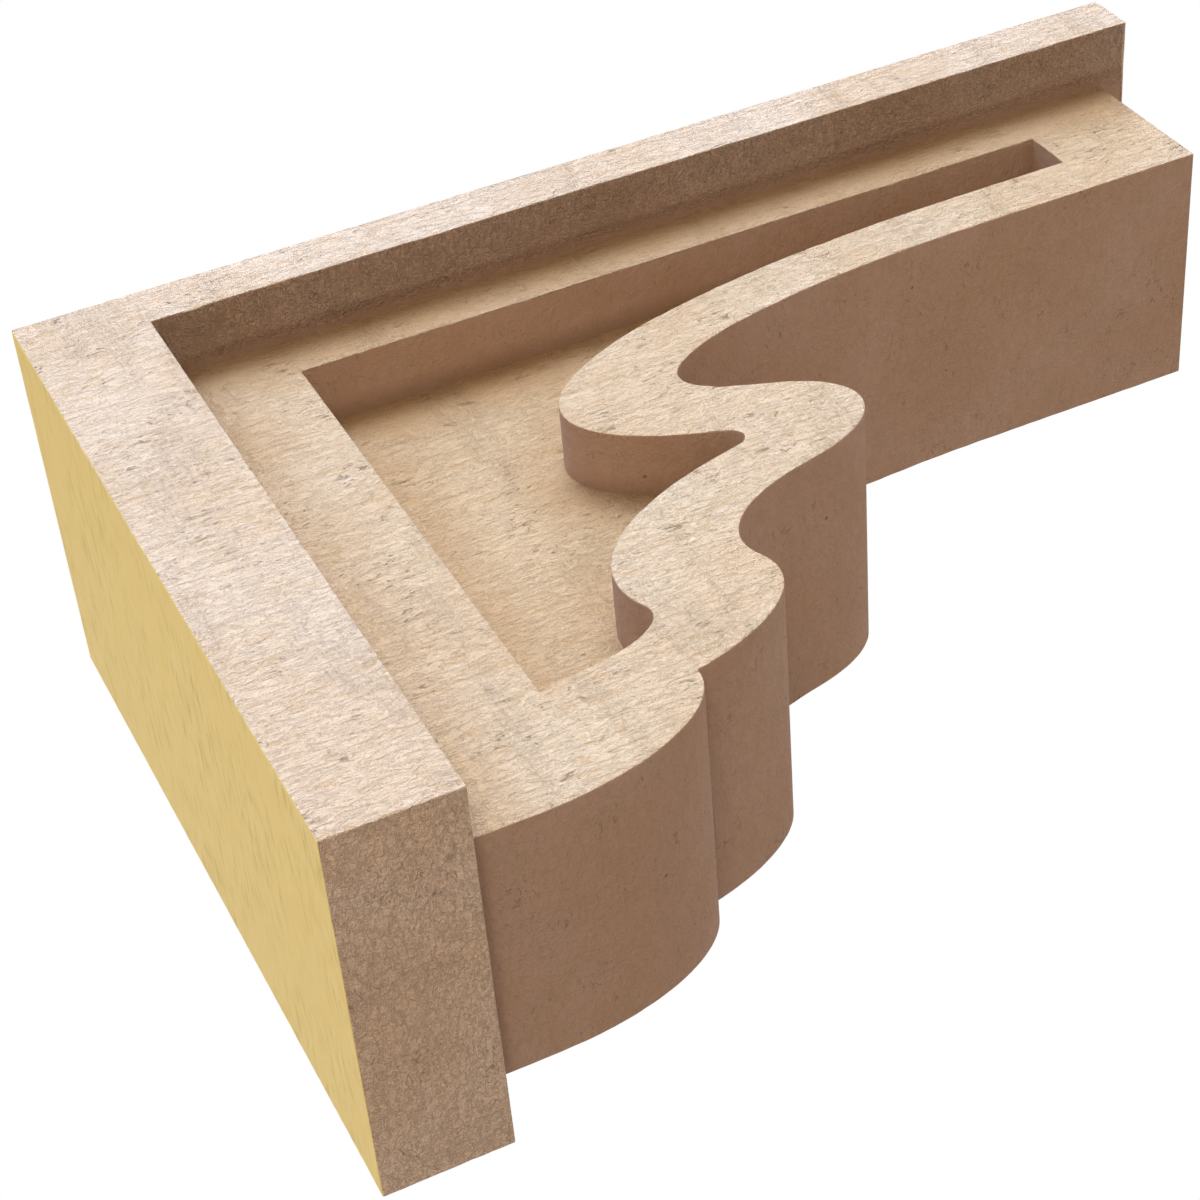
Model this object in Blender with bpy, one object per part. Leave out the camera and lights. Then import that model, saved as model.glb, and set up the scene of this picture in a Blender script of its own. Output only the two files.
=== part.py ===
"""Rough-sawn urethane corbel, one casting, as it hangs on a wall.

The origin is the centre of the flat back. The corbel projects towards -Y, Z is up and X runs across the width.
Its side profile is drawn in a pattern that is shorter than the corbel, then stretched along the projection, so that
one plate or frame thickness in the pattern gives a thin top plate and a thick wall plate.
"""

import math

import bmesh
import bpy

# Driving dimensions, in metres.
WIDTH = 0.1524
PROJECTION = 0.4572
HEIGHT = 0.3048
PATTERN_PROJECTION = 0.2205
BAND = 0.022  # thickness of both plates and of the frame round the panels, in the pattern
REVEAL = 0.0055  # how far the body stops short of the plates' ends, in the pattern
SIDE_INSET = 0.0254  # from the plates' side edges in to the body's side faces
PANEL_DEPTH = 0.0254  # from the body's side faces in to the recessed panels
NOSE_DEPTH = 0.0867  # from the corbel's top down to the underside of its nose
PANEL_TOP = 0.0432  # from the corbel's top down to the panels' top edges
PANEL_BOTTOM = 0.2495  # from the corbel's top down to the panels' lowest corners

# The body's underside in the pattern, from the nose back to the notch above the foot. Each leg is a radius and a turn
# in degrees, positive where the curve bends towards the body. A leg with no radius is a straight run of that length.
UNDERSIDE = (
    (None, 0.0460),
    (0.1557, -9.8),
    (0.0914, -18.2),
    (0.0364, -28.3),
    (0.0162, -61.3),
    (0.0282, -21.6),
    (None, 0.0068),
    (0.0286, 68.3),
    (0.0267, 44.0),
    (None, 0.0040),
    (0.0319, -76.4),
    (0.0352, 42.4),
    (0.0392, 36.0),
)
ARC_STEP = math.radians(3)  # the largest turn between two points of a curve

STRETCH = PROJECTION / PATTERN_PROJECTION
NOSE = PATTERN_PROJECTION - REVEAL
FOOT_BOTTOM = HEIGHT - REVEAL
OVERLAP = BAND / 2  # how far the body reaches into the plates before they are joined
CUT_MARGIN = 0.01  # how far the panels' cutters stand out of the body's side faces

TAN = (0.73, 0.61, 0.50, 1.0)


def clear_scene():
    for thing in list(bpy.data.objects):
        bpy.data.objects.remove(thing, do_unlink=True)


def new_collection(name, hidden):
    collection = bpy.data.collections.new(name)
    collection.hide_render = hidden
    bpy.context.scene.collection.children.link(collection)
    return collection


def arc(x, y, heading, radius, turn):
    """Points and headings along an arc that starts at x, y. Headings are radians, and the body lies to their left."""
    side = math.copysign(radius, turn)
    centre_x = x - side * math.sin(heading)
    centre_y = y + side * math.cos(heading)
    steps = math.ceil(abs(turn) / ARC_STEP)
    for step in range(1, steps + 1):
        angle = heading + turn * step / steps
        yield centre_x + side * math.sin(angle), centre_y - side * math.cos(angle), angle


def underside(inset):
    """The underside's points in the pattern, each moved in from the curve towards the body by the inset.

    x is measured out from the wall and y down from the top."""
    x, y, heading = NOSE, NOSE_DEPTH, math.pi
    points = []
    for radius, amount in UNDERSIDE:
        if radius is None:
            x += amount * math.cos(heading)
            y += amount * math.sin(heading)
            leg = [(x, y, heading)]
        else:
            leg = list(arc(x, y, heading, radius, math.radians(amount)))
        x, y, heading = leg[-1]
        points += [(px - inset * math.sin(angle), py + inset * math.cos(angle)) for px, py, angle in leg]
    return points


def plates_outline():
    """The L of the wall plate and the top plate."""
    return [
        (0, 0),
        (PATTERN_PROJECTION, 0),
        (PATTERN_PROJECTION, BAND),
        (BAND, BAND),
        (BAND, HEIGHT),
        (0, HEIGHT),
    ]


def body_outline():
    """The scrolled body, whose hidden edges run inside the plates. Its foot is a quarter round below the notch."""
    curve = underside(0)
    notch_x, notch_y = curve[-1]
    foot = arc(notch_x, notch_y, math.pi / 2, FOOT_BOTTOM - notch_y, math.pi / 2)
    return [
        (OVERLAP, OVERLAP),
        (NOSE, OVERLAP),
        (NOSE, NOSE_DEPTH),
        *curve,
        *[(x, y) for x, y, _ in foot],
        (OVERLAP, FOOT_BOTTOM),
    ]


def panel_outline():
    """A recessed panel: the body's shape less a frame of one band."""
    back = 2 * BAND
    front = NOSE - BAND
    return [
        (back, PANEL_TOP),
        (front, PANEL_TOP),
        (front, NOSE_DEPTH - BAND),
        *underside(BAND),
        (back, PANEL_BOTTOM),
    ]


def slab(name, outline, thickness, centre_x, collection):
    """A closed mesh of a pattern outline, stretched to the corbel's projection and given a thickness across X."""
    curve = bpy.data.curves.new(name, "CURVE")
    curve.dimensions = "2D"
    curve.fill_mode = "BOTH"
    curve.extrude = thickness / 2
    spline = curve.splines.new("POLY")
    spline.points.add(len(outline) - 1)
    for point, (x, y) in zip(spline.points, outline):
        point.co = (x * STRETCH, HEIGHT / 2 - y, 0, 1)
    spline.use_cyclic_u = True
    guide = bpy.data.objects.new(name + "_guide", curve)
    guide.location = (centre_x, 0, 0)
    guide.rotation_euler = (math.pi / 2, 0, -math.pi / 2)
    collection.objects.link(guide)
    bpy.context.view_layer.update()

    graph = bpy.context.evaluated_depsgraph_get()
    mesh = bpy.data.meshes.new_from_object(guide.evaluated_get(graph))
    mesh.name = name
    welded = bmesh.new()
    welded.from_mesh(mesh)
    bmesh.ops.remove_doubles(welded, verts=welded.verts, dist=0.00001)
    bmesh.ops.recalc_face_normals(welded, faces=welded.faces)
    welded.to_mesh(mesh)
    welded.free()
    solid = bpy.data.objects.new(name, mesh)
    solid.matrix_world = guide.matrix_world
    collection.objects.link(solid)
    bpy.data.objects.remove(guide, do_unlink=True)
    return solid


def helper(name, outline, thickness, centre_x, collection):
    """A slab that only joins or cuts the corbel."""
    solid = slab(name, outline, thickness, centre_x, collection)
    solid.hide_render = True
    solid.display_type = "WIRE"
    return solid


def combine(target, other, operation):
    modifier = target.modifiers.new(other.name, "BOOLEAN")
    modifier.operation = operation
    modifier.solver = "EXACT"
    modifier.object = other


def primed_urethane():
    material = bpy.data.materials.new("primed_urethane")
    material.use_nodes = True
    material.diffuse_color = TAN
    shader = material.node_tree.nodes["Principled BSDF"]
    shader.inputs["Base Color"].default_value = TAN
    shader.inputs["Roughness"].default_value = 0.85
    shader.inputs["Metallic"].default_value = 0.0
    return material


def main():
    clear_scene()
    parts = new_collection("urethane_corbel", hidden=False)
    cutters = new_collection("cutters", hidden=True)

    corbel = slab("corbel", plates_outline(), WIDTH, 0, parts)
    corbel.data.materials.append(primed_urethane())

    half_body = WIDTH / 2 - SIDE_INSET
    combine(corbel, helper("body", body_outline(), 2 * half_body, 0, cutters), "UNION")
    cutter_centre = half_body + (CUT_MARGIN - PANEL_DEPTH) / 2
    for side, name in ((-1, "panel_left"), (1, "panel_right")):
        cutter = helper(name, panel_outline(), PANEL_DEPTH + CUT_MARGIN, side * cutter_centre, cutters)
        combine(corbel, cutter, "DIFFERENCE")


main()
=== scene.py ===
"""The looks of a rough-sawn urethane corbel: its torn, streaky face, its tan primer and its raw foam back.

The corbel hangs on a wall that isn't shown: +Y goes into the wall, +Z is up and X runs across the width.
"""

import math

import bmesh
import bpy
from mathutils import Matrix, Vector, kdtree, noise


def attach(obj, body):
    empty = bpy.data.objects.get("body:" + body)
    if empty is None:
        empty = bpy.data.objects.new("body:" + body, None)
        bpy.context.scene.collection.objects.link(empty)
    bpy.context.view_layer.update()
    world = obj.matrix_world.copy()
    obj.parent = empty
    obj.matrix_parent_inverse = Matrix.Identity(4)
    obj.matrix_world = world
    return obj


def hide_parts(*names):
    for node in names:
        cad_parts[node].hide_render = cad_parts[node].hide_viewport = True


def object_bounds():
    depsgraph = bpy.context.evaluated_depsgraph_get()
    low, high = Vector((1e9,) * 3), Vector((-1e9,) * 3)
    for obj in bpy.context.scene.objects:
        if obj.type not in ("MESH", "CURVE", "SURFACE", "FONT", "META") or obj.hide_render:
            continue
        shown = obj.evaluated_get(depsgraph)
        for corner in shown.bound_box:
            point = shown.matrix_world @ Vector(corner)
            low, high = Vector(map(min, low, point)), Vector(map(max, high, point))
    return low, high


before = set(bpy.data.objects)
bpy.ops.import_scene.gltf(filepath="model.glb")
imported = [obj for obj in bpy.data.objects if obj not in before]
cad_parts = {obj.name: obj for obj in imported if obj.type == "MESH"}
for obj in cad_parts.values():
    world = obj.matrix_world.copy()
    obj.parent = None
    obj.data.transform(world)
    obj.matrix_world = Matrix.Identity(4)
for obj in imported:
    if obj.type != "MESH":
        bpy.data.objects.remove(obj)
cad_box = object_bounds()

# The photograph's camera, in metres. The corbel lay on its side, so the picture's up is nearly -X.
CAMERA_PLACE = Vector((-0.6004, 0.1378, -0.7086))
CAMERA_AIM = Vector((0.0174, -0.1594, 0.0136))
CAMERA_UP = Vector((-1, 0, 0))
CAMERA_ROLL = math.radians(-5.305)
CAMERA_LENS = 83.43  # mm
CAMERA_SENSOR = 36  # mm

# The surroundings. Lengths are in metres.
FLOOR_HEIGHT = -1.9  # well below the camera
FLOOR_REACH = 40
FLOOR_GREY = (0.12, 0.119, 0.117, 1)
FLOOR_GLOW = (1.0, 0.99, 0.98, 1)
FLOOR_GLOW_STRENGTH = 0.82
STUDIO_GLOW = (1.0, 0.80, 0.66, 1)
STUDIO_GLOW_STRENGTH = 0.445
WHITE = (1, 1, 1, 1)
SOFTBOX_DISTANCE = 4.0

# The casting's mesh, in metres. Its walls are the faces that don't look sideways.
WELD = 0.000005
FLAT = math.radians(0.3)  # faces that turn less than this are one flat face
ARRIS_TURN = math.radians(30)  # edges that turn more than this are arrises
CRISP_TURN = math.radians(18)  # edges that turn more than this are shaded sharp
ARRIS = 0.0005  # how far the worn outer arrises are rounded back
ACROSS_GRAIN = 0.00130  # between the cuts that carry the side faces' relief
ALONG_GRAIN = 0.0030
ACROSS_STREAKS = 0.0018  # between the cuts that carry the walls' relief
ALONG_STREAKS = 0.0060
CLEAR_OF_ARRIS = 0.0016  # cuts keep this far from flat faces, so that no relief folds over an arris
FLAT_AREA = 0.0001  # square metres, the least that counts as a flat face
PLATE_SIDE = cad_box[1].x
BODY_SIDE = 0.0508
RECESS_SHADE_SIDE = 0.0381  # a side face this near the middle, or nearer, takes the full painted shade of the recesses
EDGE_REACH = 0.0008  # how near a plane a point counts as on it
ARRIS_LEAN = 0.05  # a normal that leans further than this towards a second face lies on an arris

# The relief's depths, in metres. In the mesh all of it goes inwards, so the casting keeps its size.
SWELL_DEPTH = 0.00015  # long soft waves left by the saw
RIDGE_DEPTH = 0.00022  # ridges of torn fibre along the grain
CREASE_DEPTH = 0.00030  # creases where fibres were pulled out
FOAM_DEPTH = 0.00012  # the smooth foam back
GRAIN_BUMP = 0.0019  # grain too fine for the mesh, which only catches the light
FOAM_BUMP = 0.0003

# How many waves of each form of relief there are in a metre, and how they lie.
SWELL_WAVES = 45
RIDGE_WAVES = 360
CREASE_WAVES = 230
GRAIN_STRETCH = 2.4  # how much longer the relief is along the grain than across it
WANDER = 0.002  # metres that the ridges wander off a straight line
CREASE_START = 0.3  # the noise, from -1 to 1, above which there is a crease

# How much of the relief each kind of face has, from 0 to 1.
SIDES_TORN = 1.0
PLATES_TORN = 0.8  # the plates' outer ends and faces
INNER_TORN = 0.5  # the plates' walls that look towards the body
NEARLY_SMOOTH = 0.4  # walls no rougher than this take the full painted shade of the smooth walls
BODY_TORN = 0.12  # the body's curved walls and the panels' walls, which the mould leaves smooth

# Painted shade round the inner corners: golden, and darker close to them.
NOOK_REACH = 0.040  # metres that it reaches over the side faces
NOOK_CLIMB = 1.65  # how many times less far it reaches up the walls
NOOK_STEP = 0.002  # metres between the points that mark the corners
OPEN_NOOK = 0.65  # how much a corner that is open to above counts

# The primer's colours, then the painted shade of its creases and of its cracks and pits, which the dark
# specks share.
TAN = (0.800, 0.628, 0.470, 1)
PALE_TAN = (0.850, 0.708, 0.578, 1)
MOTTLED_TAN = (0.68, 0.51, 0.36, 1)
SMUDGE_BROWN = (0.36, 0.24, 0.14, 1)
# Painted shade in the grain's creases.
CREASE_SHADE_GOLD = (0.57, 0.37, 0.18, 1)
# Painted shade in the cracks and pits, and the colour of the dark specks.
CRACK_SHADE_AND_SPECK_BROWN = (0.36, 0.19, 0.08, 1)

# Tints that the primer's colour is multiplied by, all of them painted light or shade.
SMOOTH_WALL_SHADE_TINT = (0.49, 0.42, 0.385, 1)  # painted shade: the smooth walls are darkened and browned as if in shade
# Painted light: the walls, all but the side faces, are brightened.
WALL_PAINTED_LIGHT_TINT = (1.18, 1.13, 1.13, 1)
# Painted shade: side faces nearer the middle, the ledges and recess floors, are darker and warmer.
RECESS_SHADE_TINT = (0.93, 0.885, 0.77, 1)
# Painted shade round the inner corners: golden, then darker right at the corner.
CORNER_GOLD_SHADE_TINT = (0.84, 0.76, 0.66, 1)
CORNER_SHADE_TINT = (0.55, 0.47, 0.39, 1)

# The raw foam's colours.
FOAM_YELLOW = (0.95, 0.72, 0.22, 1)
FOAM_OLIVE = (0.58, 0.47, 0.14, 1)
FOAM_PIT = (0.38, 0.31, 0.11, 1)

# Material slots.
PRIMED = 0
FOAM = 1


def welded_casting():
    """The CAD casting as a bmesh, with its loose triangles merged into whole flat faces."""
    casting = bmesh.new()
    casting.from_mesh(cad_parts["corbel"].data)
    bmesh.ops.remove_doubles(casting, verts=casting.verts, dist=WELD)
    bmesh.ops.dissolve_limit(casting, angle_limit=FLAT, verts=casting.verts, edges=casting.edges)
    for face in casting.faces:
        on_back = face.normal.y > 0.9 and face.calc_center_median().y > cad_box[1].y - ARRIS
        face.material_index = FOAM if on_back else PRIMED
        face.smooth = True
    return casting


def round_arrises(casting):
    """Rounds the outer arrises as wear does. The inner ones stay sharp."""
    arrises = [edge for edge in casting.edges if edge.calc_face_angle() > ARRIS_TURN and edge.is_convex]
    bmesh.ops.bevel(
        casting,
        geom=arrises,
        affect="EDGES",
        offset=ARRIS,
        segments=2,
        profile=0.5,
        material=-1,
        clamp_overlap=True,
    )
    for edge in casting.edges:
        edge.smooth = edge.calc_face_angle() < CRISP_TURN


def inner_corners(casting):
    """A tree of points along the inner arrises that side faces end in, and how much painted shade each point
    spreads.

    A corner under a wall that faces down gets the most painted shade, since the light comes from above.
    """
    places = []
    corner_shades = []
    for edge in casting.edges:
        walls = [face for face in edge.link_faces if not looks_sideways(face)]
        if len(walls) == 1 and edge.calc_face_angle() > ARRIS_TURN and not edge.is_convex:
            start, end = [corner.co for corner in edge.verts]
            steps = max(1, round((end - start).length / NOOK_STEP))
            corner_shade = OPEN_NOOK + (1 - OPEN_NOOK) * max(0, -walls[0].normal.z)
            places += [start.lerp(end, step / steps) for step in range(steps + 1)]
            corner_shades += [corner_shade] * (steps + 1)
    tree = kdtree.KDTree(len(places))
    for number, place in enumerate(places):
        tree.insert(corner_space(place), number)
    tree.balance()
    return tree, corner_shades


def corner_space(point):
    """The point with X drawn out, so that an inner corner reaches less far up the walls."""
    return Vector((point.x * NOOK_CLIMB, point.y, point.z))


def nearness_to_corner(point, corners):
    """From 0 to 1, the painted shade that the inner corners spread to a point."""
    tree, corner_shades = corners
    near = tree.find_range(corner_space(point), NOOK_REACH)
    return max([corner_shades[number] * (1 - distance / NOOK_REACH) for _, number, distance in near], default=0)


def looks_sideways(face):
    return abs(face.normal.x) > 0.5


def looks_level(face):
    """Faces towards the wall or away from it, more than up or down."""
    return not looks_sideways(face) and abs(face.normal.y) > abs(face.normal.z)


def looks_up_or_down(face):
    return not looks_sideways(face) and not looks_level(face)


def cut_faces(casting, faces, axis, places):
    """Cuts faces by planes across an axis, at places in order.

    Halving the places keeps each cut to few faces.
    """
    if not faces or not places:
        return
    middle = len(places) // 2
    place = places[middle]
    crossed = []
    spared = []
    for face in faces:
        reach = [corner.co[axis] for corner in face.verts]
        (crossed if min(reach) < place - WELD and max(reach) > place + WELD else spared).append(face)
    normal = Vector((0, 0, 0))
    normal[axis] = 1
    parts = list({part for face in crossed for part in (*face.verts, *face.edges, face)})
    cut = bmesh.ops.bisect_plane(casting, geom=parts, dist=WELD, plane_co=normal * place, plane_no=normal)
    spared += [part for part in cut["geom"] if isinstance(part, bmesh.types.BMFace)]
    below = []
    above = []
    for face in spared:
        (below if face.calc_center_median()[axis] < place else above).append(face)
    cut_faces(casting, below, axis, places[:middle])
    cut_faces(casting, above, axis, places[middle + 1:])


def flat_places(casting, axis):
    """Where the flat faces across an axis lie along it."""
    level = [face for face in casting.faces if abs(face.normal[axis]) > 0.999]
    return {round(face.calc_center_median()[axis], 5) for face in level if face.calc_area() > FLAT_AREA}


def cut_evenly(casting, chosen, axis, spacing, flats):
    low, high = cad_box[0][axis], cad_box[1][axis]
    count = round((high - low) / spacing)
    places = [low + (high - low) * step / count for step in range(1, count)]
    places = [place for place in places if all(abs(place - flat) > CLEAR_OF_ARRIS for flat in flats)]
    cut_faces(casting, [face for face in casting.faces if chosen(face)], axis, places)


def cut_for_relief(casting):
    """Cuts cells drawn out along the grain, which runs along Y on the side faces and along X on the walls."""
    flats = [flat_places(casting, axis) for axis in range(3)]
    cut_evenly(casting, looks_sideways, 1, ALONG_GRAIN, flats[1])
    cut_evenly(casting, looks_sideways, 2, ACROSS_GRAIN, flats[2])
    cut_evenly(casting, looks_up_or_down, 1, ACROSS_STREAKS, flats[1])
    cut_evenly(casting, looks_level, 2, ACROSS_STREAKS, flats[2])
    cut_evenly(casting, lambda face: not looks_sideways(face), 0, ALONG_STREAKS, flats[0])


def waves(point, count, grain_axis):
    """Smooth noise from -1 to 1 with that many waves in a metre, drawn out along the grain."""
    place = point * count
    place[grain_axis] /= GRAIN_STRETCH
    return noise.noise(place)


def sawn_depth(point, grain_axis):
    """How deep the sawn and torn surface lies below the true one."""
    swell = 0.5 + 0.5 * waves(point, SWELL_WAVES, grain_axis)
    bend = Vector((WANDER, WANDER, WANDER)) * noise.noise(point * SWELL_WAVES * 2)
    ridge = 0.5 + 0.5 * waves(point + bend, RIDGE_WAVES, grain_axis)
    crease = max(0, waves(point + bend, CREASE_WAVES, grain_axis) - CREASE_START)
    return SWELL_DEPTH * swell + RIDGE_DEPTH * ridge + CREASE_DEPTH * min(1, 2 * crease)


def tornness(point):
    """How rough a point's wall is. The body is narrower than the plates, and its walls are smooth."""
    if on_plate_outside(point):
        return PLATES_TORN
    on_body = abs(point.x) < BODY_SIDE + EDGE_REACH
    return BODY_TORN if on_body else INNER_TORN


def on_plate_outside(point):
    """True on the corbel's top, its back, the wall plate's lower end and the top plate's front end."""
    low, high = cad_box
    near_top = point.z > high.z - EDGE_REACH
    near_bottom = point.z < low.z + EDGE_REACH
    near_back = point.y > high.y - EDGE_REACH
    near_front = point.y < low.y + EDGE_REACH
    return near_top or near_bottom or near_back or near_front


def relief_move(point, normal):
    """How a point of the true surface moves in. One on an arris moves with both of the faces it joins."""
    move = Vector((0, 0, 0))
    if abs(normal.x) > ARRIS_LEAN:
        move.x = -math.copysign(SIDES_TORN * sawn_depth(point, 1), normal.x)
    wall = Vector((0, normal.y, normal.z))
    if wall.length < ARRIS_LEAN:
        return move
    if not on_plate_outside(point):
        return move - wall.normalized() * tornness(point) * sawn_depth(point, 0)
    for axis in (1, 2):
        if abs(wall[axis]) > ARRIS_LEAN:
            on_back = axis == 1 and point.y > cad_box[1].y - EDGE_REACH
            foam = FOAM_DEPTH * (0.5 + 0.5 * waves(point, CREASE_WAVES, 0))
            depth = foam if on_back else PLATES_TORN * sawn_depth(point, 0)
            move[axis] = -math.copysign(depth, wall[axis])
    return move


def press_relief(casting, corners):
    """Presses the relief in, and keeps how torn each wall is and how near an inner corner each point is.

    The primer's material reads both, for its relief and its painted shade.
    """
    casting.normal_update()
    torn = casting.verts.layers.float.new("torn")
    nook = casting.verts.layers.float.new("nook")
    moves = []
    for corner in casting.verts:
        point = corner.co.copy()
        corner[torn] = tornness(point)
        corner[nook] = nearness_to_corner(point, corners)
        moves.append((corner, relief_move(point, corner.normal)))
    for corner, move in moves:
        corner.co += move


def corbel_casting():
    """The whole casting with its relief, in place of the plain CAD one."""
    casting = welded_casting()
    corners = inner_corners(casting)
    round_arrises(casting)
    cut_for_relief(casting)
    press_relief(casting, corners)
    mesh = bpy.data.meshes.new("corbel_casting")
    casting.to_mesh(mesh)
    casting.free()
    piece = bpy.data.objects.new("corbel_casting", mesh)
    bpy.context.scene.collection.objects.link(piece)
    piece.data.materials.append(primed_material())
    piece.data.materials.append(foam_material())
    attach(piece, "root")
    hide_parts("corbel")
    return piece


def put(tree, kind, inputs=None, **settings):
    """Adds a node. Its inputs, by name or number, are values or other nodes' outputs."""
    made = tree.nodes.new("ShaderNode" + kind)
    for name, value in settings.items():
        setattr(made, name, value)
    for name, value in (inputs or {}).items():
        if isinstance(value, bpy.types.NodeSocket):
            tree.links.new(value, made.inputs[name])
        else:
            made.inputs[name].default_value = value
    return made


def maths(tree, operation, first, second=0.0):
    return put(tree, "Math", {0: first, 1: second}, operation=operation).outputs[0]


def times(tree, first, *factors):
    product = first
    for factor in factors:
        product = maths(tree, "MULTIPLY", product, factor)
    return product


def summed(tree, first, *others):
    total = first
    for other in others:
        total = maths(tree, "ADD", total, other)
    return total


def centred(tree, value):
    """Moves a value from round 0.5 to round 0."""
    return maths(tree, "SUBTRACT", value, 0.5)


def stretched(tree, vector, factors):
    return put(tree, "VectorMath", {0: vector, 1: factors}, operation="MULTIPLY").outputs[0]


def cloudy(tree, vector, count, detail=2.0, roughness=0.5, distortion=0.0):
    """Soft noise round 0.5, with a number of waves to each unit of the vector."""
    inputs = {
        "Vector": vector,
        "Scale": count,
        "Detail": detail,
        "Roughness": roughness,
        "Distortion": distortion,
    }
    return put(tree, "TexNoise", inputs).outputs["Fac"]


def ramp(tree, value, low, high, to_low=0.0, to_high=1.0):
    """Eases a value from to_low, at low, to to_high, at high."""
    inputs = {"Value": value, "From Min": low, "From Max": high, "To Min": to_low, "To Max": to_high}
    return put(tree, "MapRange", inputs, interpolation_type="SMOOTHSTEP").outputs[0]


MIX_FACTOR = 0  # where a colour Mix node keeps its sockets
MIX_FIRST = 6
MIX_SECOND = 7
MIX_RESULT = 2


def mixed(tree, factor, first, second, blend_type="MIX"):
    inputs = {MIX_FACTOR: factor, MIX_FIRST: first, MIX_SECOND: second}
    return put(tree, "Mix", inputs, data_type="RGBA", blend_type=blend_type).outputs[MIX_RESULT]


def tinted(tree, share, tone, tint):
    return mixed(tree, share, tone, tint, "MULTIPLY")


def new_group(name, inputs, outputs):
    """An empty shader node group with named sockets, and its input and output nodes."""
    group = bpy.data.node_groups.new(name, "ShaderNodeTree")
    for direction, sockets in (("INPUT", inputs), ("OUTPUT", outputs)):
        for socket_name, kind in sockets:
            group.interface.new_socket(socket_name, in_out=direction, socket_type="NodeSocket" + kind)
    return group, group.nodes.new("NodeGroupInput"), group.nodes.new("NodeGroupOutput")


def use_group(tree, group, inputs):
    return put(tree, "Group", inputs, node_tree=group)


def sawn_grain_group():
    """Torn fibres along the grain, saw chatter across it, and scattered cracks.

    The height is centred on 0. Drawn Out and Lines are the position shrunk along the grain, and Crosswise is
    the position shrunk across it. Coarse, from 0 to 1, is how strong the larger forms are.
    """
    inputs = [(name, "Vector") for name in ("Position", "Drawn Out", "Lines", "Crosswise")]
    inputs.append(("Coarse", "Float"))
    group, given, result = new_group("Sawn grain", inputs, [("Height", "Float"), ("Cracks", "Float")])
    position, drawn_out, lines, crosswise, coarse = [given.outputs[name] for name, _ in inputs]
    ridges = cloudy(group, drawn_out, count=430, detail=5, roughness=0.6, distortion=0.9)
    plateaus = ramp(group, ridges, 0.43, 0.56)
    fibres = cloudy(group, lines, count=420, detail=3, roughness=0.6, distortion=0.25)
    grains = cloudy(group, position, count=720, detail=3, roughness=0.7, distortion=0.5)
    crumbs = cloudy(group, position, count=1300, detail=2, roughness=0.6)
    chatter = cloudy(group, crosswise, count=600, detail=4, roughness=0.65, distortion=0.8)
    saw_bands = ramp(group, cloudy(group, crosswise, count=60, detail=1), 0.54, 0.66)
    bits = cloudy(group, drawn_out, count=560, detail=5, roughness=0.68, distortion=0.9)
    crack_zones = ramp(group, cloudy(group, position, count=62, detail=3), 0.46, 0.64)
    cracks = times(group, ramp(group, bits, 0.59, 0.66), crack_zones, coarse)
    height = summed(
        group,
        times(group, centred(group, ridges), coarse, 0.45),
        times(group, centred(group, fibres), coarse, 0.68),
        times(group, centred(group, plateaus), coarse, 0.16),
        times(group, centred(group, grains), 0.52),
        times(group, centred(group, crumbs), 0.40),
        times(group, centred(group, chatter), saw_bands, 0.8),
        times(group, cracks, -0.40),
    )
    group.links.new(height, result.inputs["Height"])
    group.links.new(cracks, result.inputs["Cracks"])
    return group


def pits_group():
    """Small round pits, scattered singly.

    Share is how many cells have a pit, and Reach is its radius as a share of a cell.
    """
    inputs = [("Position", "Vector"), ("Count", "Float"), ("Share", "Float"), ("Reach", "Float")]
    group, given, result = new_group("Pits", inputs, [("Pits", "Float")])
    position, count, share, reach = [given.outputs[name] for name, _ in inputs]
    cells = put(group, "TexVoronoi", {"Vector": position, "Scale": count})
    chosen = put(group, "SeparateColor", {0: cells.outputs["Color"]}).outputs[0]
    kept = maths(group, "LESS_THAN", chosen, share)
    near = maths(group, "DIVIDE", cells.outputs["Distance"], reach)
    pits = times(group, ramp(group, near, 0.6, 1.0, 1.0, 0.0), kept)
    group.links.new(pits, result.inputs["Pits"])
    return group


def blotches_group():
    """Soft clouds of tone, from 0 to 1."""
    inputs = [("Position", "Vector"), ("Count", "Float")]
    group, given, result = new_group("Blotches", inputs, [("Tone", "Float")])
    clouds = cloudy(group, given.outputs["Position"], given.outputs["Count"], detail=3, roughness=0.55)
    group.links.new(ramp(group, clouds, 0.32, 0.68), result.inputs["Tone"])
    return group


SAWN_GRAIN = sawn_grain_group()
PITS = pits_group()
BLOTCHES = blotches_group()


def pitted(tree, position, count, share, reach):
    inputs = {"Position": position, "Count": count, "Share": share, "Reach": reach}
    return use_group(tree, PITS, inputs).outputs[0]


def blotched(tree, position, count):
    return use_group(tree, BLOTCHES, {"Position": position, "Count": count}).outputs[0]


def kept_value(tree, name):
    """What the casting's mesh keeps at each of its points under that name."""
    return put(tree, "Attribute", attribute_name=name).outputs["Fac"]


def across(tree, vector):
    """How large a vector is across the corbel, either way."""
    return maths(tree, "ABSOLUTE", put(tree, "SeparateXYZ", {0: vector}).outputs["X"])


def drawn(tree, position, sideways, on_walls, on_sides):
    """The position shrunk by one set of factors on the walls and by another on the side faces."""
    return mixed(tree, sideways, stretched(tree, position, on_walls), stretched(tree, position, on_sides))


def new_material(name):
    material = bpy.data.materials.new(name)
    material.use_nodes = True
    tree = material.node_tree
    shader = tree.nodes["Principled BSDF"]
    position = put(tree, "TexCoord").outputs["Object"]
    return material, tree, shader, position


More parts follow.
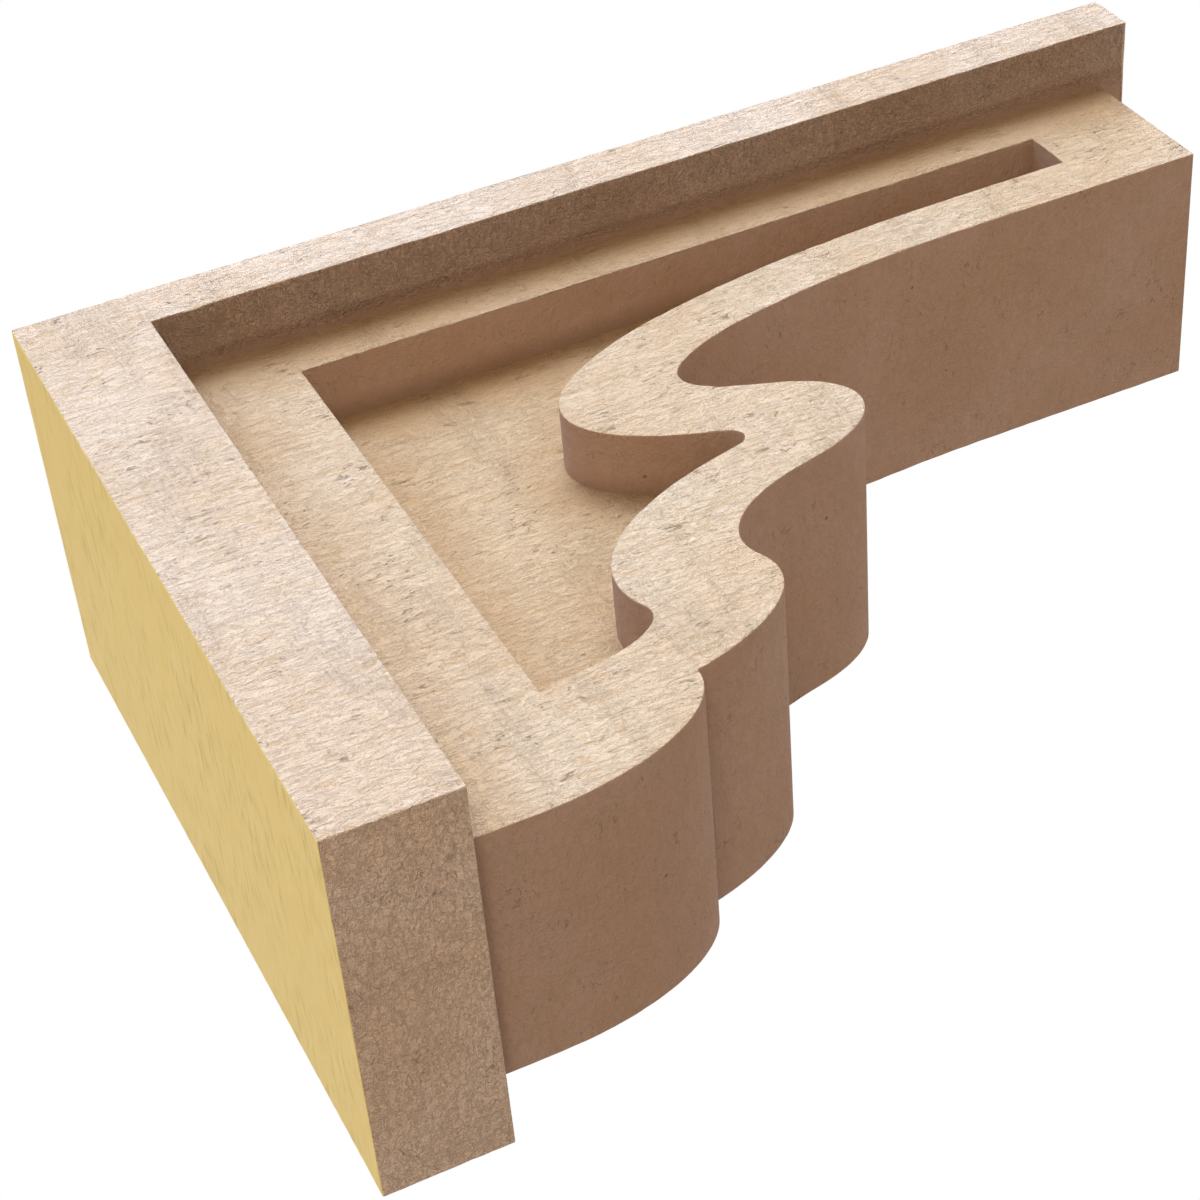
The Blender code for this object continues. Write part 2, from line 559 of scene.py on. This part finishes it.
def primer_coat(tree, position, drawn_out, sideways, torn):
    """The primer's colour, with the painted shade of the smooth walls and recesses and the painted light of
    the walls, before the grain, the painted corner shade and the cracks show in it.
    """
    smooth = ramp(tree, torn, NEARLY_SMOOTH, PLATES_TORN, 1.0, 0.0)
    tone = mixed(tree, blotched(tree, position, 16.0), TAN, PALE_TAN)
    tone = mixed(tree, times(tree, blotched(tree, drawn_out, 60.0), 0.15), tone, MOTTLED_TAN)
    # Painted shade: the smooth walls are darkened and browned.
    tone = tinted(tree, smooth, tone, SMOOTH_WALL_SHADE_TINT)
    # Painted light: the walls, all but the side faces, are brightened.
    tone = tinted(tree, maths(tree, "SUBTRACT", 1.0, sideways), tone, WALL_PAINTED_LIGHT_TINT)
    # Painted shade: side faces nearer the middle, the ledges and recess floors, are darker and warmer.
    deep = times(tree, ramp(tree, across(tree, position), PLATE_SIDE, RECESS_SHADE_SIDE), sideways)
    tone = tinted(tree, deep, tone, RECESS_SHADE_TINT)
    return mixed(tree, times(tree, smooth, blotched(tree, drawn_out, 210.0), 0.20), tone, SMUDGE_BROWN)


def corner_painted_shade(tree, tone, nook, sideways):
    """Painted shade round the inner corners: the colour made golden, and dim close to them."""
    golden_shade = times(tree, ramp(tree, nook, 0.05, 0.7), sideways, 0.9)
    tone = tinted(tree, golden_shade, tone, CORNER_GOLD_SHADE_TINT)
    corner_shadow = times(tree, ramp(tree, nook, 0.55, 0.97), ramp(tree, sideways, 0.0, 1.0, 0.45, 1.0))
    return tinted(tree, corner_shadow, tone, CORNER_SHADE_TINT)


def primed_material():
    """Tan primer over a sawn and torn timber texture, pale on the crests, with painted shade in the creases.
    """
    material, tree, shader, position = new_material("primed_urethane_sawn")
    sideways = ramp(tree, across(tree, put(tree, "NewGeometry").outputs["Normal"]), 0.4, 0.6)
    torn = maths(tree, "MAXIMUM", kept_value(tree, "torn"), sideways)
    nook = kept_value(tree, "nook")
    drawn_out = drawn(tree, position, sideways, (1 / 1.6, 1, 1), (1, 1 / 3, 1))
    grain_inputs = {
        "Position": position,
        "Drawn Out": drawn_out,
        "Lines": drawn(tree, position, sideways, (1 / 5, 1, 1), (1, 1 / 12, 1)),
        "Crosswise": drawn(tree, position, sideways, (1, 1 / 3.2, 1), (1, 1, 1 / 4)),
        "Coarse": ramp(tree, nook, 0.3, 0.75, 1.0, 0.55),
    }
    grain = use_group(tree, SAWN_GRAIN, grain_inputs)
    height = grain.outputs["Height"]
    cracks = times(tree, grain.outputs["Cracks"], torn)
    pits = pitted(tree, position, count=90.0, share=0.10, reach=0.07)
    specks = pitted(tree, position, count=400.0, share=0.09, reach=0.18)

    tone = primer_coat(tree, position, drawn_out, sideways, torn)
    # Painted shade: the grain's creases are tinted golden brown.
    crease_shade = times(tree, ramp(tree, height, -0.06, -0.24), torn, ramp(tree, sideways, 0.0, 1.0, 0.10, 0.52))
    tone = mixed(tree, crease_shade, tone, CREASE_SHADE_GOLD)
    # Painted shade round the inner corners.
    tone = corner_painted_shade(tree, tone, nook, sideways)
    # Painted shade: the cracks and pits are darkened to brown. The specks are dark flecks in the primer.
    crack_shade_and_specks = maths(tree, "MAXIMUM", times(tree, cracks, 0.5), times(tree, pits, 0.85))
    crack_shade_and_specks = maths(tree, "MAXIMUM", crack_shade_and_specks, times(tree, specks, 0.35))
    tone = mixed(tree, crack_shade_and_specks, tone, CRACK_SHADE_AND_SPECK_BROWN)
    tree.links.new(tone, shader.inputs["Base Color"])

    rough = ramp(tree, torn, BODY_TORN, INNER_TORN, 0.16, 1.0)
    rough = times(tree, rough, ramp(tree, sideways, 0.0, 1.0, 1.7, 1.0))
    lift = summed(tree, times(tree, height, rough), times(tree, pits, -0.6))
    bump = put(tree, "Bump", {"Height": lift, "Strength": 1.0, "Distance": GRAIN_BUMP}).outputs[0]
    tree.links.new(bump, shader.inputs["Normal"])
    tree.links.new(ramp(tree, height, -0.4, 0.2, 0.95, 0.78), shader.inputs["Roughness"])
    shader.inputs["Specular IOR Level"].default_value = 0.25
    return material


def foam_material():
    """Raw yellow foam, smooth but for faint olive streaks."""
    material, tree, shader, position = new_material("raw_foam_back")
    along = stretched(tree, position, (0.15, 1, 1))
    streaks = cloudy(tree, along, count=400, detail=3, roughness=0.6, distortion=0.4)
    olive = times(tree, ramp(tree, streaks, 0.48, 0.66), blotched(tree, position, 22.0))
    tone = mixed(tree, times(tree, olive, 0.5), FOAM_YELLOW, FOAM_OLIVE)
    pits = pitted(tree, position, count=160.0, share=0.12, reach=0.08)
    tone = mixed(tree, times(tree, pits, 0.5), tone, FOAM_PIT)
    tree.links.new(tone, shader.inputs["Base Color"])
    height = maths(tree, "SUBTRACT", streaks, pits)
    bump = put(tree, "Bump", {"Height": height, "Strength": 0.5, "Distance": FOAM_BUMP}).outputs[0]
    tree.links.new(bump, shader.inputs["Normal"])
    tree.links.new(ramp(tree, streaks, 0.3, 0.7, 0.65, 0.85), shader.inputs["Roughness"])
    shader.inputs["Specular IOR Level"].default_value = 0.3
    return material


def aimed(place, target, up):
    """A matrix at a place, looking at the target along its own -Z, with its Y as near to up as can be."""
    forwards = (target - place).normalized()
    right = forwards.cross(up).normalized()
    turned = Matrix((right, right.cross(forwards), -forwards)).transposed()
    return Matrix.Translation(place) @ turned.to_4x4()


def add_camera():
    data = bpy.data.cameras.new("camera")
    data.lens = CAMERA_LENS
    data.sensor_width = CAMERA_SENSOR
    data.clip_start = 0.01
    camera = bpy.data.objects.new("camera", data)
    camera.matrix_world = aimed(CAMERA_PLACE, CAMERA_AIM, CAMERA_UP) @ Matrix.Rotation(CAMERA_ROLL, 4, "Z")
    bpy.context.scene.collection.objects.link(camera)
    bpy.context.scene.camera = camera


def add_softbox(name, direction, power, colour, width=3.2):
    """A square soft light, aimed at the middle of the corbel. Only its light shows, not the box itself."""
    middle = (cad_box[0] + cad_box[1]) / 2
    data = bpy.data.lights.new(name, "AREA")
    data.energy = power
    data.color = colour
    data.size = width
    light = bpy.data.objects.new(name, data)
    place = middle + Vector(direction).normalized() * SOFTBOX_DISTANCE
    light.matrix_world = aimed(place, middle, Vector((0.01, 0.02, 1)))
    light.visible_camera = False
    bpy.context.scene.collection.objects.link(light)


def add_lights():
    """Two softboxes rake the side that the camera sees, two fill it in, and two are for the other faces."""
    add_softbox("raking_light", (-0.75, -0.10, 0.66), 60, (0.71, 1.06, 1.80), width=5.2)
    add_softbox("raking_light_by_wall", (-0.70, 0.40, 0.60), 70, (0.66, 1.06, 1.72), width=5.2)
    add_softbox("side_light", (-0.85, -0.20, 0.50), 90, (1.02, 1.03, 0.97))
    add_softbox("low_light", (-0.80, 0.30, -0.40), 68, (1.1, 1.0, 0.75), width=1.0)
    add_softbox("far_side_light", (0.8, 0, 0.6), 120, (1.0, 1.0, 1.0))
    add_softbox("front_light", (0.1, -1.0, 0.4), 40, (1.0, 1.0, 1.0))


def add_studio():
    """A dim warm glow from all round, which the camera sees as plain white."""
    world = bpy.data.worlds.new("studio")
    world.use_nodes = True
    tree = world.node_tree
    glow = tree.nodes["Background"]
    glow.inputs["Color"].default_value = STUDIO_GLOW
    glow.inputs["Strength"].default_value = STUDIO_GLOW_STRENGTH
    white = put(tree, "Background", {"Color": WHITE, "Strength": 1.0})
    seen = put(tree, "LightPath").outputs["Is Camera Ray"]
    choice = put(tree, "MixShader", {0: seen, 1: glow.outputs[0], 2: white.outputs[0]})
    tree.links.new(choice.outputs[0], tree.nodes["World Output"].inputs["Surface"])
    bpy.context.scene.world = world
    bpy.context.scene.view_settings.view_transform = "Standard"


def add_floor():
    """A plain pale floor far below the corbel."""
    slab = bmesh.new()
    bmesh.ops.create_grid(slab, x_segments=1, y_segments=1, size=FLOOR_REACH)
    mesh = bpy.data.meshes.new("floor")
    slab.to_mesh(mesh)
    slab.free()
    floor = bpy.data.objects.new("floor", mesh)
    floor.location.z = FLOOR_HEIGHT
    floor.visible_diffuse = False  # the corbel takes its light from the glow and the softboxes alone
    bpy.context.scene.collection.objects.link(floor)
    material = bpy.data.materials.new("pale_floor")
    material.use_nodes = True
    shader = material.node_tree.nodes["Principled BSDF"]
    shader.inputs["Base Color"].default_value = FLOOR_GREY
    shader.inputs["Emission Color"].default_value = FLOOR_GLOW
    shader.inputs["Emission Strength"].default_value = FLOOR_GLOW_STRENGTH
    shader.inputs["Roughness"].default_value = 0.9
    mesh.materials.append(material)


add_camera()
add_studio()
add_floor()
add_lights()
corbel_casting()
